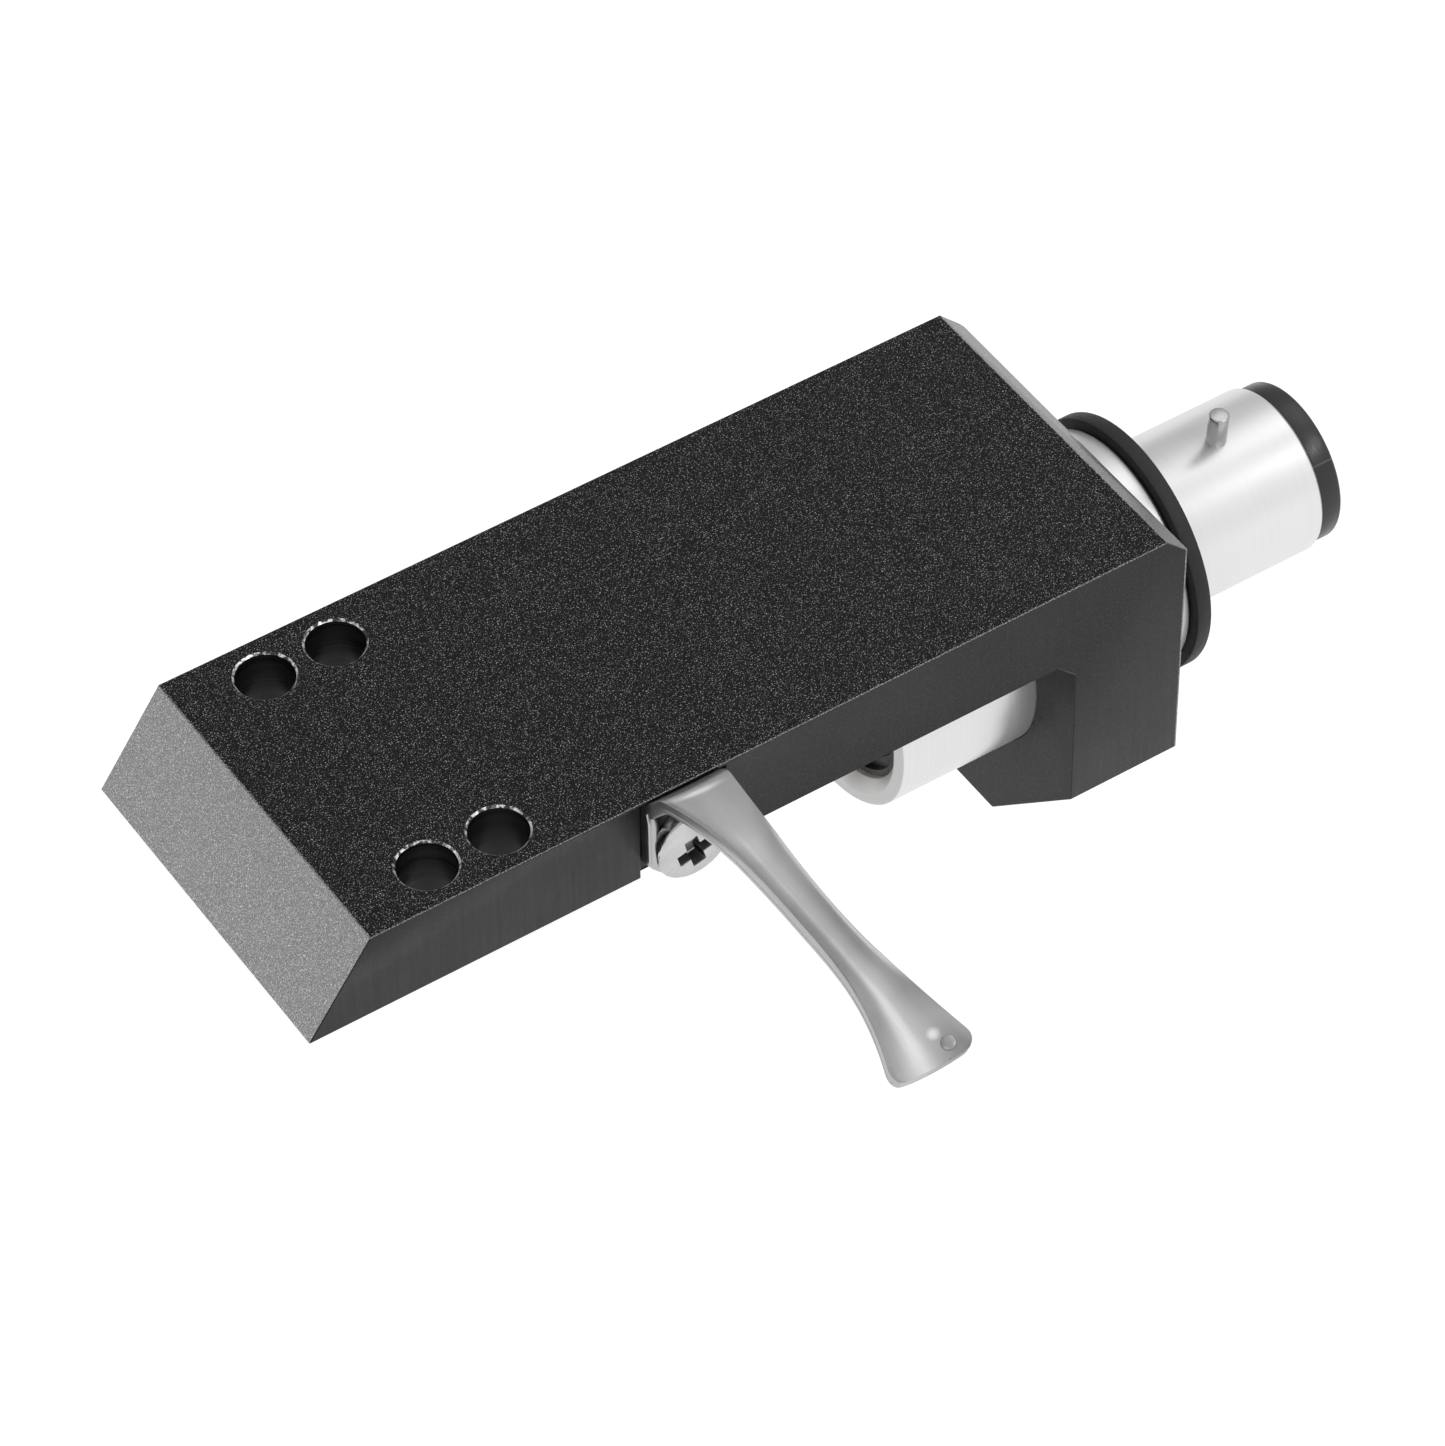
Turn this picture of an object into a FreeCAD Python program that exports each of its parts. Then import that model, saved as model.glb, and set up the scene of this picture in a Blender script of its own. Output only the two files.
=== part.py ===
import FreeCAD, Part
import math
import os
import re

import Sketcher
from FreeCAD import Placement, Rotation, Vector

# A turntable headshell with a sliding, turning plug and a dished finger lift.
# X runs forward along the plug's axis, Y towards the finger lift, Z up.
# The origin is on the plug's axis, in the face of the rubber washer that meets the arm.

SIZES = {
    "shank_radius": (3.95, "plug that enters the arm's socket"),
    "shank_length": (7.76, "plug, from the washer's rear face to its end"),
    "shank_chamfer": (0.15, "edge of the plug's end"),
    "sleeve_radius": (5.65, "thick sleeve that the block grips"),
    "sleeve_length": (15.4, "sleeve, from its step to its front end"),
    "sleeve_chamfer": (0.15, "outer edges of the sleeve"),
    "mouth_radius": (5.09, "sleeve's bevelled mouth, at the front end"),
    "chamber_radius": (4.53, "sleeve's front chamber"),
    "chamber_depth": (3.6, "front end to the chamber's floor"),
    "core_radius": (3.2, "bore through the plug, and the moulding in it"),
    "azimuth_turn": (4.0, "degrees that the plug is turned from upright"),
    "washer_thickness": (0.78, "rubber washer"),
    "washer_radius": (6.1, "rubber washer"),
    "washer_gap": (0.02, "between the washer and the sleeve's step"),
    "washer_clearance": (0.05, "around the plug, in the washer"),
    "locating_pin_radius": (0.46, "pin that the arm's collar pulls on"),
    "locating_pin_height": (1.65, "above the plug"),
    "locating_pin_setback": (4.3, "behind the washer's rear face"),
    "locating_pin_chamfer": (0.06, "top edge of the pin"),
    "cap_radius": (3.78, "rear cap of the moulding"),
    "cap_length": (1.12, "rear cap, behind the plug's end"),
    "cap_chamfer": (0.12, "rear edge of the cap"),
    "face_setback": (0.75, "sleeve's front end to the front moulding's face"),
    "face_rim": (0.3, "outer ring of the front moulding's face"),
    "face_step": (0.4, "depth of each step in the front moulding's face"),
    "face_ledge": (0.45, "width of the step inside the outer ring"),
    "face_boss_radius": (3.1, "raised middle of the front moulding's face"),
    "contact_circle": (2.05, "radius of the circle of four contacts"),
    "contact_radius": (0.5, "rear end of a contact"),
    "contact_height": (0.7, "contact, beyond the cap"),
    "contact_chamfer": (0.2, "rounded tips of a contact"),
    "terminal_radius": (0.6, "front end of a contact, for a lead's clip"),
    "terminal_length": (4.5, "front end, beyond the moulding's boss"),
    "axis_to_top": (9.4, "plug's axis to the top face"),
    "plate_thickness": (4.5, "shell's plate"),
    "top_length": (40.7, "rear face to the front edge of the top face"),
    "nose_run": (3.15, "how far the sloping nose runs forward"),
    "rear_chamfer": (1.25, "top edge of the rear face"),
    "corner_chamfer": (0.2, "upright edges of the rear face"),
    "slide_room": (2.53, "washer to the shell's rear face, as set"),
    "block_length": (5.8, "clamp block, along the axis"),
    "block_depth": (19.0, "top face to the block's foot"),
    "block_side_depth": (13.3, "top face to where the block tapers"),
    "web_chamfer": (0.95, "corner between block and plate"),
    "slide_clearance": (0.05, "around the sleeve, in the block"),
    "channel_reach": (17.0, "rear face to the end of the sleeve's channel"),
    "index_radius": (0.9, "upright index groove in the rear face"),
    "index_depth": (0.15, "upright index groove in the rear face"),
    "hole_radius": (1.3, "cartridge screw holes"),
    "hole_chamfer": (0.09, "rims of the cartridge screw holes"),
    "hole_spacing": (12.7, "across the shell"),
    "hole_side_margin": (2.05, "cartridge screw holes' middle to the shell's side"),
    "hole_row_gap": (3.42, "between the two rows"),
    "hole_setback": (3.94, "front edge of the top face to the front row"),
    "lift_setback": (14.96, "front edge of the top face to the lift's middle"),
    "lift_screw_drop": (2.4, "top face to the lift screw's axis"),
    "recess_depth": (0.4, "seat of the lift, in the shell's side"),
    "recess_margin": (0.3, "beside the lift, in its seat"),
    "recess_lip": (0.2, "top face to the seat's upper wall"),
    "lift_thickness": (0.55, "sheet of the lift"),
    "lift_width": (3.65, "lift, at its foot"),
    "lift_waist": (1.68, "lift, at its narrowest"),
    "lift_waist_reach": (10.1, "side of the shell to the waist"),
    "lift_spread": (4.2, "lift's tip before its corners are rounded"),
    "lift_corner": (0.9, "rounded corners of the lift"),
    "lift_overhang": (0.15, "lift's foot, below the plate"),
    "lift_bend_radius": (0.5, "lower bend, in the middle of the sheet"),
    "lift_bend_drop": (0.957, "top face to the lower bend"),
    "lift_rise_angle": (45.0, "degrees of the rising stretch"),
    "lift_rise_length": (1.19, "rising stretch"),
    "lift_crest_radius": (0.9, "sharp upper bend, in the middle of the sheet"),
    "lift_ease_angle": (12.0, "degrees that the sheet still rises after the upper bend"),
    "lift_ease_radius": (18.0, "slow bend that levels the sheet"),
    "lift_flat_length": (8.16, "level stretch"),
    "lift_tip_radius": (14.8, "drooping tip"),
    "lift_tip_angle": (20.0, "degrees that the tip droops"),
    "lift_lean": (0.36, "how far the tip leans towards the nose"),
    "lift_rim": (0.25, "how much deeper the arm's edges are than its middle"),
    "lift_dish": (0.4, "depth of the dish at the waist"),
    "lift_tip_dish": (0.7, "depth of the dish at the tip"),
    "lift_screw_radius": (1.0, "shank of the lift screw"),
    "lift_screw_reach": (3.0, "shank, into the shell"),
    "lift_screw_tip": (0.25, "bevelled end of the lift screw"),
    "lift_hole_clearance": (0.05, "around the screw, in lift and washer"),
    "lift_head_radius": (1.85, "head of the lift screw"),
    "lift_head_height": (0.7, "head of the lift screw"),
    "lift_head_bevel": (0.2, "edge of the lift screw's head"),
    "lift_slot_width": (0.5, "arms of the cross recess"),
    "lift_slot_length": (2.5, "arms of the cross recess"),
    "lift_slot_depth": (0.6, "cross recess"),
    "lift_washer_radius": (1.35, "washer under the head"),
    "lift_washer_thickness": (0.35, "washer under the head"),
    "clamp_screw_radius": (1.5, "set screw that holds the sleeve"),
    "clamp_screw_length": (2.9, "set screw"),
    "clamp_screw_tip": (0.45, "bevelled end of the set screw"),
    "clamp_socket_flats": (1.5, "hexagon socket, across its flats"),
    "clamp_socket_depth": (1.2, "hexagon socket"),
}

CHANNELS = ("right_signal", "left_signal", "left_ground", "right_ground")

# How the lift's arm changes along its length, and where its sections are taken
WAIST_TO_FOOT_POWER = 2.2
WAIST_TO_TIP_POWER = 2.5
DISH_ONSET = 1.8
CORNER_SHARES = (0, 0.35, 0.65, 0.85, 0.96, 1)
STEP_ANGLE = 9
STEP_LENGTH = 1.2

doc = FreeCAD.newDocument("headshell")
sheet = doc.addObject("Spreadsheet::Sheet", "Sizes")
for row, (alias, (number, note)) in enumerate(SIZES.items(), start=1):
    sheet.set(f"A{row}", str(number))
    sheet.setAlias(f"A{row}", alias)
    sheet.set(f"B{row}", note)
doc.recompute()


def linked(text):
    """Turns the size names in a formula into references to the sheet."""
    return re.sub(r"[a-z_]+", lambda word: f"Sizes.{word[0]}" if word[0] in SIZES else word[0], text)


def value(text):
    """The number that a formula of size names gives."""
    return float(sheet.evalExpression(linked(text)))


def new_body(label):
    body = doc.addObject("PartDesign::Body", label)
    body.Label = label
    return body


def sketch_on(body, name, role, offset="0"):
    """An empty sketch on one of the body's own planes, moved along its normal."""
    plane = next(item for item in body.Origin.OriginFeatures if item.Role == role)
    sketch = body.newObject("Sketcher::SketchObject", name)
    sketch.AttachmentSupport = [(plane, "")]
    sketch.MapMode = "FlatFace"
    sketch.setExpression(".AttachmentOffset.Base.z", linked(offset))
    return sketch


def pin_down(sketch, geometry, point, across, up):
    """Ties one point of a sketch to two formulas."""
    for kind, formula in (("DistanceX", across), ("DistanceY", up)):
        rule = Sketcher.Constraint(kind, -1, 1, geometry, point, value(formula))
        index = sketch.addConstraint(rule)
        sketch.setExpression(f"Constraints[{index}]", linked(formula))


def add_outline(sketch, corners):
    """A closed outline of straight edges, each corner a pair of formulas."""
    spots = [Vector(value(across), value(up), 0) for across, up in corners]
    first = sketch.GeometryCount
    count = len(spots)
    for index in range(count):
        sketch.addGeometry(Part.LineSegment(spots[index], spots[(index + 1) % count]), False)
    for index in range(count):
        follower = first + (index + 1) % count
        sketch.addConstraint(Sketcher.Constraint("Coincident", first + index, 2, follower, 1))
    for index, (across, up) in enumerate(corners):
        pin_down(sketch, first + index, 1, across, up)


def add_circle(sketch, across, up, radius):
    centre = Vector(value(across), value(up), 0)
    circle = sketch.addGeometry(Part.Circle(centre, Vector(0, 0, 1), value(radius)), False)
    pin_down(sketch, circle, 3, across, up)
    index = sketch.addConstraint(Sketcher.Constraint("Radius", circle, value(radius)))
    sketch.setExpression(f"Constraints[{index}]", linked(radius))


def pad(body, name, sketch, length):
    """Thickens a sketch evenly to both sides of its plane."""
    feature = body.newObject("PartDesign::Pad", name)
    feature.Profile = sketch
    feature.SideType = "Symmetric"
    feature.setExpression("Length", linked(length))
    doc.recompute()


def revolve(body, name, sketch, axis):
    feature = body.newObject("PartDesign::Revolution", name)
    feature.Profile = sketch
    feature.ReferenceAxis = (sketch, [axis])
    feature.Angle = 360
    doc.recompute()


def pocket(body, name, sketch, length=None, along_normal=False):
    """Cuts a sketch into the body, right through where no length is given."""
    before = body.Shape.Volume
    feature = body.newObject("PartDesign::Pocket", name)
    feature.Profile = sketch
    feature.Reversed = along_normal
    if length is None:
        feature.Type = "ThroughAll"
        feature.SideType = "Symmetric"
    else:
        feature.setExpression("Length", linked(length))
    doc.recompute()
    if body.Shape.Volume > before - 1e-4:
        raise RuntimeError(f"{name} cuts nothing from {body.Label}")


def chamfer(body, name, wanted, size):
    """Bevels the edges that a test picks."""
    base = body.Tip
    names = [f"Edge{i}" for i, edge in enumerate(base.Shape.Edges, start=1) if wanted(edge)]
    feature = body.newObject("PartDesign::Chamfer", name)
    feature.Base = (base, names)
    feature.setExpression("Size", linked(size))
    doc.recompute()


# Places that several pieces share
top = "axis_to_top"
underside = "(axis_to_top - plate_thickness)"
half_width = "(hole_spacing / 2 + hole_side_margin)"
step = "(washer_thickness + washer_gap)"
sleeve_front = f"({step} + sleeve_length)"
chamber_floor = f"({sleeve_front} - chamber_depth)"
face = f"({sleeve_front} - face_setback)"
cap_end = "(-shank_length - cap_length)"
block_rear = "(washer_thickness + slide_room)"
block_front = f"({block_rear} + block_length)"
block_foot = "(axis_to_top - block_depth)"
front_edge = f"({block_rear} + top_length)"
lift_middle = f"({front_edge} - lift_setback)"
lift_screw_level = "(axis_to_top - lift_screw_drop)"
seat = f"({half_width} - recess_depth)"
lift_face = f"({seat} + lift_thickness)"
lift_bend = f"({top} - lift_bend_drop)"
lift_foot = f"({underside} - lift_overhang)"
turned_plug = Rotation(Vector(1, 0, 0), -value("azimuth_turn"))


def make_headshell_body():
    """Plate, sloping nose and clamp block, machined from one bar."""
    body = new_body("headshell_body")
    side = sketch_on(body, "side_outline", "XZ_Plane")
    add_outline(side, [
        (block_rear, f"{top} - rear_chamfer"),
        (f"{block_rear} + rear_chamfer", top),
        (front_edge, top),
        (f"{front_edge} + nose_run", underside),
        (f"{block_front} + web_chamfer", underside),
        (block_front, f"{underside} - web_chamfer"),
        (block_front, block_foot),
        (block_rear, block_foot),
    ])
    pad(body, "bar", side, f"2 * {half_width}")

    tapers = sketch_on(body, "block_tapers", "YZ_Plane")
    for sign in ("", "-"):
        add_outline(tapers, [
            (f"{sign}{half_width}", f"{top} - block_side_depth"),
            (f"{sign}{half_width}", block_foot),
            (f"{sign}({half_width} - block_depth + block_side_depth)", block_foot),
        ])
    pocket(body, "taper_cuts", tapers)

    def is_rear_corner(edge):
        box = edge.BoundBox
        upright = box.ZLength > max(box.XLength, box.YLength, 1)
        return upright and abs(box.XMax - value(block_rear)) < 1e-4

    chamfer(body, "rear_corners", is_rear_corner, "corner_chamfer")

    bore = sketch_on(body, "bore_circle", "YZ_Plane")
    add_circle(bore, "0", "0", "sleeve_radius + slide_clearance")
    pocket(body, "bore_and_channel", bore, f"{block_rear} + channel_reach", along_normal=True)

    index_mark = sketch_on(body, "index_circle", "XY_Plane")
    add_circle(index_mark, f"{block_rear} + index_depth - index_radius", "0", "index_radius")
    pocket(body, "index_groove", index_mark, top, along_normal=True)

    holes = sketch_on(body, "cartridge_circles", "XY_Plane")
    for row in (f"{front_edge} - hole_setback", f"{front_edge} - hole_setback - hole_row_gap"):
        for across in ("hole_spacing / 2", "-hole_spacing / 2"):
            add_circle(holes, row, across, "hole_radius")
    pocket(body, "cartridge_holes", holes)

    def is_hole_rim(edge):
        return isinstance(edge.Curve, Part.Circle) and abs(edge.Curve.Radius - value("hole_radius")) < 1e-6

    chamfer(body, "hole_rims", is_hole_rim, "hole_chamfer")

    recess = sketch_on(body, "lift_seat_outline", "XZ_Plane", f"-{half_width}")
    reach = "(lift_width / 2 + recess_margin)"
    add_outline(recess, [
        (f"{lift_middle} - {reach}", f"{underside} - recess_lip"),
        (f"{lift_middle} + {reach}", f"{underside} - recess_lip"),
        (f"{lift_middle} + {reach}", f"{top} - recess_lip"),
        (f"{lift_middle} - {reach}", f"{top} - recess_lip"),
    ])
    pocket(body, "lift_seat", recess, "recess_depth", along_normal=True)

    thread = sketch_on(body, "lift_thread_circle", "XZ_Plane", f"-{half_width}")
    add_circle(thread, lift_middle, lift_screw_level, "lift_screw_radius")
    pocket(body, "lift_thread", thread, "recess_depth + lift_screw_reach", along_normal=True)

    clamp = sketch_on(body, "clamp_thread_circle", "XY_Plane", block_foot)
    add_circle(clamp, f"{block_rear} + block_length / 2", "0", "clamp_screw_radius")
    pocket(body, "clamp_thread", clamp, f"-{block_foot}", along_normal=True)
    return body


def make_connector_tube():
    """Turned tube: a thick sleeve in front, the thinner plug behind its step."""
    body = new_body("connector_tube")
    section = sketch_on(body, "tube_section", "XZ_Plane")
    add_outline(section, [
        ("-shank_length", "core_radius"),
        ("-shank_length", "shank_radius - shank_chamfer"),
        ("shank_chamfer - shank_length", "shank_radius"),
        (step, "shank_radius"),
        (step, "sleeve_radius - sleeve_chamfer"),
        (f"{step} + sleeve_chamfer", "sleeve_radius"),
        (f"{sleeve_front} - sleeve_chamfer", "sleeve_radius"),
        (sleeve_front, "sleeve_radius - sleeve_chamfer"),
        (sleeve_front, "mouth_radius"),
        (f"{sleeve_front} - (mouth_radius - chamber_radius)", "chamber_radius"),
        (chamber_floor, "chamber_radius"),
        (chamber_floor, "core_radius"),
    ])
    revolve(body, "turned_tube", section, "H_Axis")
    drilling = sketch_on(body, "pin_circle", "XY_Plane")
    add_circle(drilling, "-locating_pin_setback", "0", "locating_pin_radius")
    pocket(body, "pin_hole", drilling, "shank_radius + locating_pin_height", along_normal=True)
    body.Placement = Placement(Vector(), turned_plug)
    return body


def make_locating_pin():
    body = new_body("locating_pin")
    section = sketch_on(body, "pin_section", "XZ_Plane")
    crown = "(shank_radius + locating_pin_height)"
    add_outline(section, [
        ("0", "core_radius"),
        ("locating_pin_radius", "core_radius"),
        ("locating_pin_radius", f"{crown} - locating_pin_chamfer"),
        ("locating_pin_radius - locating_pin_chamfer", crown),
        ("0", crown),
    ])
    revolve(body, "turned_pin", section, "V_Axis")
    body.Placement = Placement(Vector(-value("locating_pin_setback"), 0, 0), turned_plug)
    return body


def make_rubber_washer():
    body = new_body("rubber_washer")
    section = sketch_on(body, "washer_section", "XZ_Plane")
    add_outline(section, [
        ("0", "shank_radius + washer_clearance"),
        ("washer_thickness", "shank_radius + washer_clearance"),
        ("washer_thickness", "washer_radius"),
        ("0", "washer_radius"),
    ])
    revolve(body, "ring", section, "H_Axis")
    return body


def contact_spots():
    """Where the four contacts lie around the plug's axis, as pairs of formulas."""
    for quarter in range(4):
        angle = f"({45 + 90 * quarter} deg)"
        yield f"contact_circle * cos{angle}", f"contact_circle * sin{angle}"


def bore_for_contacts(body, radius):
    circles = sketch_on(body, "contact_circles", "YZ_Plane")
    for across, up in contact_spots():
        add_circle(circles, across, up, radius)
    pocket(body, "contact_holes", circles)


def make_rear_insulator():
    """Black moulding that lines the plug and caps its end."""
    body = new_body("rear_insulator")
    section = sketch_on(body, "core_section", "XZ_Plane")
    add_outline(section, [
        (cap_end, "0"),
        (cap_end, "cap_radius - cap_chamfer"),
        (f"{cap_end} + cap_chamfer", "cap_radius"),
        ("-shank_length", "cap_radius"),
        ("-shank_length", "core_radius"),
        (chamber_floor, "core_radius"),
        (chamber_floor, "0"),
    ])
    revolve(body, "core_and_cap", section, "H_Axis")
    bore_for_contacts(body, "contact_radius")
    body.Placement = Placement(Vector(), turned_plug)
    return body


def make_front_insulator():
    """Black disc in the sleeve's chamber, its face stepped down round a boss."""
    body = new_body("front_insulator")
    section = sketch_on(body, "disc_section", "XZ_Plane")
    inner_ring = "(chamber_radius - face_rim)"
    ledge = f"({inner_ring} - face_ledge)"
    add_outline(section, [
        (chamber_floor, "0"),
        (chamber_floor, "chamber_radius"),
        (face, "chamber_radius"),
        (face, inner_ring),
        (f"{face} - face_step", inner_ring),
        (f"{face} - face_step", ledge),
        (f"{face} - 2 * face_step", ledge),
        (f"{face} - 2 * face_step", "face_boss_radius"),
        (f"{face} - face_step", "face_boss_radius"),
        (f"{face} - face_step", "0"),
    ])
    revolve(body, "stepped_disc", section, "H_Axis")
    bore_for_contacts(body, "terminal_radius")
    body.Placement = Placement(Vector(), turned_plug)
    return body


def make_contact(channel, across, up):
    """One pin, from its rear tip through both mouldings to its front terminal."""
    body = new_body(f"contact_{channel}")
    section = sketch_on(body, "contact_section", "XZ_Plane")
    rear = f"({cap_end} - contact_height)"
    front = f"({face} - face_step + terminal_length)"
    add_outline(section, [
        (rear, "0"),
        (rear, "contact_radius - contact_chamfer"),
        (f"{rear} + contact_chamfer", "contact_radius"),
        (chamber_floor, "contact_radius"),
        (chamber_floor, "terminal_radius"),
        (f"{front} - contact_chamfer", "terminal_radius"),
        (front, "terminal_radius - contact_chamfer"),
        (front, "0"),
    ])
    revolve(body, "turned_contact", section, "H_Axis")
    spot = turned_plug.multVec(Vector(0, value(across), value(up)))
    body.Placement = Placement(spot, turned_plug)
    return body


def lift_stretches():
    """Bends and straights of the lift's arm in order: radius, degrees turned and length."""
    bend = value("90 - lift_rise_angle")
    crest = value("lift_rise_angle - lift_ease_angle")
    turns = [
        ("lift_bend_radius", bend),
        (None, "lift_rise_length"),
        ("lift_crest_radius", crest),
        ("lift_ease_radius", value("lift_ease_angle")),
        (None, "lift_flat_length"),
        ("lift_tip_radius", value("lift_tip_angle")),
    ]
    for radius, amount in turns:
        if radius is None:
            yield None, 0, value(amount)
        else:
            yield value(radius), amount, value(radius) * math.radians(amount)


def lift_path(distance):
    """Middle of the lift's sheet: y, z and heading at a distance from its lower bend."""
    y = value(f"{seat} + lift_thickness / 2")
    z = value(lift_bend)
    heading = math.radians(90)
    for radius, turn, length in lift_stretches():
        part = min(distance, length)
        if radius is None:
            y += part * math.cos(heading)
            z += part * math.sin(heading)
        else:
            turned = heading - part / radius
            y += radius * (math.sin(heading) - math.sin(turned))
            z += radius * (math.cos(turned) - math.cos(heading))
            heading = turned
        distance -= part
    return y, z, heading


def curled_edge(start, middle, end):
    """A parabola through three points, the second one halfway."""
    curve = Part.BezierCurve()
    curve.setPoles([start, middle * 2 - (start + end) / 2, end])
    return curve.toShape()


def lift_section(distance):
    """One cross-section of the lift's arm: a strip that curls up at both edges."""
    y, z, heading = lift_path(distance)
    root_y = value(half_width)
    tip_y = lift_path(sum(length for _, _, length in lift_stretches()))[0]
    waist_y = value(f"{half_width} + lift_waist_reach")
    waist = value("lift_waist")
    if y < waist_y:
        part = max(waist_y - y, 0) / (waist_y - root_y)
        width = waist + (value("lift_width") - waist) * min(part, 1) ** WAIST_TO_FOOT_POWER
        dish = value("lift_dish") * min((1 - min(part, 1)) * DISH_ONSET, 1)
    else:
        part = (y - waist_y) / (tip_y - waist_y)
        width = waist + (value("lift_spread") - waist) * part ** WAIST_TO_TIP_POWER
        dish = value("lift_dish") + (value("lift_tip_dish") - value("lift_dish")) * part
    curl = dish / (width / 2) ** 2
    corner = value("lift_corner")
    inside = max(corner - (tip_y - y), 0)
    half = width / 2 - corner + math.sqrt(corner ** 2 - inside ** 2)
    level = Vector(0, -math.sin(heading), math.cos(heading))
    along_arm = max(y - root_y, 0) / (tip_y - root_y)
    middle = Vector(value(lift_middle) + value("lift_lean") * along_arm, y, z)
    rim = value("lift_rim") * math.sin(math.pi * along_arm)
    upper = []
    lower = []
    for across, drop in ((-half, rim), (0, 0), (half, rim)):
        spot = middle + Vector(across, 0, 0) + level * (curl * across ** 2)
        upper.append(spot + level * value("lift_thickness / 2"))
        lower.append(spot - level * (value("lift_thickness / 2") + drop))
    return Part.Wire([
        curled_edge(*upper),
        Part.makeLine(upper[-1], lower[-1]),
        curled_edge(*lower[::-1]),
        Part.makeLine(lower[0], upper[0]),
    ])


def lift_stations():
    """Distances from the lower bend at which the arm's sections stand."""
    stations = [0.0]
    for radius, turn, length in lift_stretches():
        steps = max(math.ceil(turn / STEP_ANGLE), math.ceil(length / STEP_LENGTH))
        start = stations[-1]
        stations += [start + length * part / steps for part in range(1, steps + 1)]
    corner = value("lift_corner")
    corner_start = stations[-1] - corner
    kept = [station for station in stations if station < corner_start - corner / 2]
    return kept + [corner_start + corner * share for share in CORNER_SHARES]


def make_finger_lift():
    """Sheet-metal lift: a flat foot, a double bend and a dished, waisted arm."""
    foot_start = Vector(value(f"{lift_middle} - lift_width / 2"), value(seat), value(lift_foot))
    foot_height = value(f"{lift_bend} - {lift_foot}")
    foot = Part.makeBox(value("lift_width"), value("lift_thickness"), foot_height, foot_start)
    lowest = foot.BoundBox.ZMin
    corners = [
        edge for edge in foot.Edges
        if edge.BoundBox.YLength > value("lift_thickness") / 2 and edge.BoundBox.ZMax < lowest + 1e-6
        and edge.BoundBox.XLength < 1e-6
    ]
    foot = foot.makeFillet(value("lift_corner"), corners)
    arm = Part.makeLoft([lift_section(distance) for distance in lift_stations()], True, True)
    hole_start = Vector(value(lift_middle), value(f"{seat} - lift_thickness"), value(lift_screw_level))
    hole_radius = value("lift_screw_radius + lift_hole_clearance")
    hole = Part.makeCylinder(hole_radius, value("3 * lift_thickness"), hole_start, Vector(0, 1, 0))
    lift = doc.addObject("Part::Feature", "finger_lift")
    lift.Label = "finger_lift"
    lift.Shape = foot.cut(hole).fuse(arm)
    lift.Placement = Placement()
    return lift


def make_lift_washer():
    body = new_body("lift_washer")
    section = sketch_on(body, "washer_section", "XY_Plane")
    add_outline(section, [
        ("lift_screw_radius + lift_hole_clearance", "0"),
        ("lift_washer_radius", "0"),
        ("lift_washer_radius", "lift_washer_thickness"),
        ("lift_screw_radius + lift_hole_clearance", "lift_washer_thickness"),
    ])
    revolve(body, "ring", section, "V_Axis")
    body.Placement = Placement(Vector(value(lift_middle), value(lift_face), value(lift_screw_level)), Rotation())
    return body


def make_lift_screw():
    """Small round-headed screw with a cross recess."""
    body = new_body("lift_screw")
    section = sketch_on(body, "screw_section", "XY_Plane")
    tip = "(-lift_washer_thickness - lift_thickness - lift_screw_reach)"
    add_outline(section, [
        ("0", tip),
        ("lift_screw_radius - lift_screw_tip", tip),
        ("lift_screw_radius", f"{tip} + lift_screw_tip"),
        ("lift_screw_radius", "0"),
        ("lift_head_radius", "0"),
        ("lift_head_radius", "lift_head_height - lift_head_bevel"),
        ("lift_head_radius - lift_head_bevel", "lift_head_height"),
        ("0", "lift_head_height"),
    ])
    revolve(body, "turned_screw", section, "V_Axis")
    recess = sketch_on(body, "cross_outline", "XZ_Plane", "-lift_head_height")
    near = "(lift_slot_width / 2)"
    far = "(lift_slot_length / 2)"
    add_outline(recess, [
        (near, near), (near, far), (f"-{near}", far), (f"-{near}", near),
        (f"-{far}", near), (f"-{far}", f"-{near}"), (f"-{near}", f"-{near}"), (f"-{near}", f"-{far}"),
        (near, f"-{far}"), (near, f"-{near}"), (far, f"-{near}"), (far, near),
    ])
    pocket(body, "cross_recess", recess, "lift_slot_depth", along_normal=True)
    seat_level = value(f"{lift_face} + lift_washer_thickness")
    body.Placement = Placement(Vector(value(lift_middle), seat_level, value(lift_screw_level)), Rotation())
    return body


def make_clamp_screw():
    """Set screw that comes up from the block's foot and bears on the sleeve."""
    body = new_body("clamp_screw")
    section = sketch_on(body, "set_screw_section", "XZ_Plane")
    point = "(-sleeve_radius - slide_clearance)"
    add_outline(section, [
        ("0", f"{point} - clamp_screw_length"),
        ("clamp_screw_radius", f"{point} - clamp_screw_length"),
        ("clamp_screw_radius", f"{point} - clamp_screw_tip"),
        ("clamp_screw_radius - clamp_screw_tip", point),
        ("0", point),
    ])
    revolve(body, "turned_set_screw", section, "V_Axis")
    socket = sketch_on(body, "hexagon_outline", "XY_Plane", f"{point} - clamp_screw_length")
    reach = "clamp_socket_flats / sqrt(3)"
    add_outline(socket, [
        (f"{reach} * cos({60 * corner} deg)", f"{reach} * sin({60 * corner} deg)")
        for corner in range(6)
    ])
    pocket(body, "hexagon_socket", socket, "clamp_socket_depth", along_normal=True)
    body.Placement = Placement(Vector(value(f"{block_rear} + block_length / 2"), 0, 0), Rotation())
    return body


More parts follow.
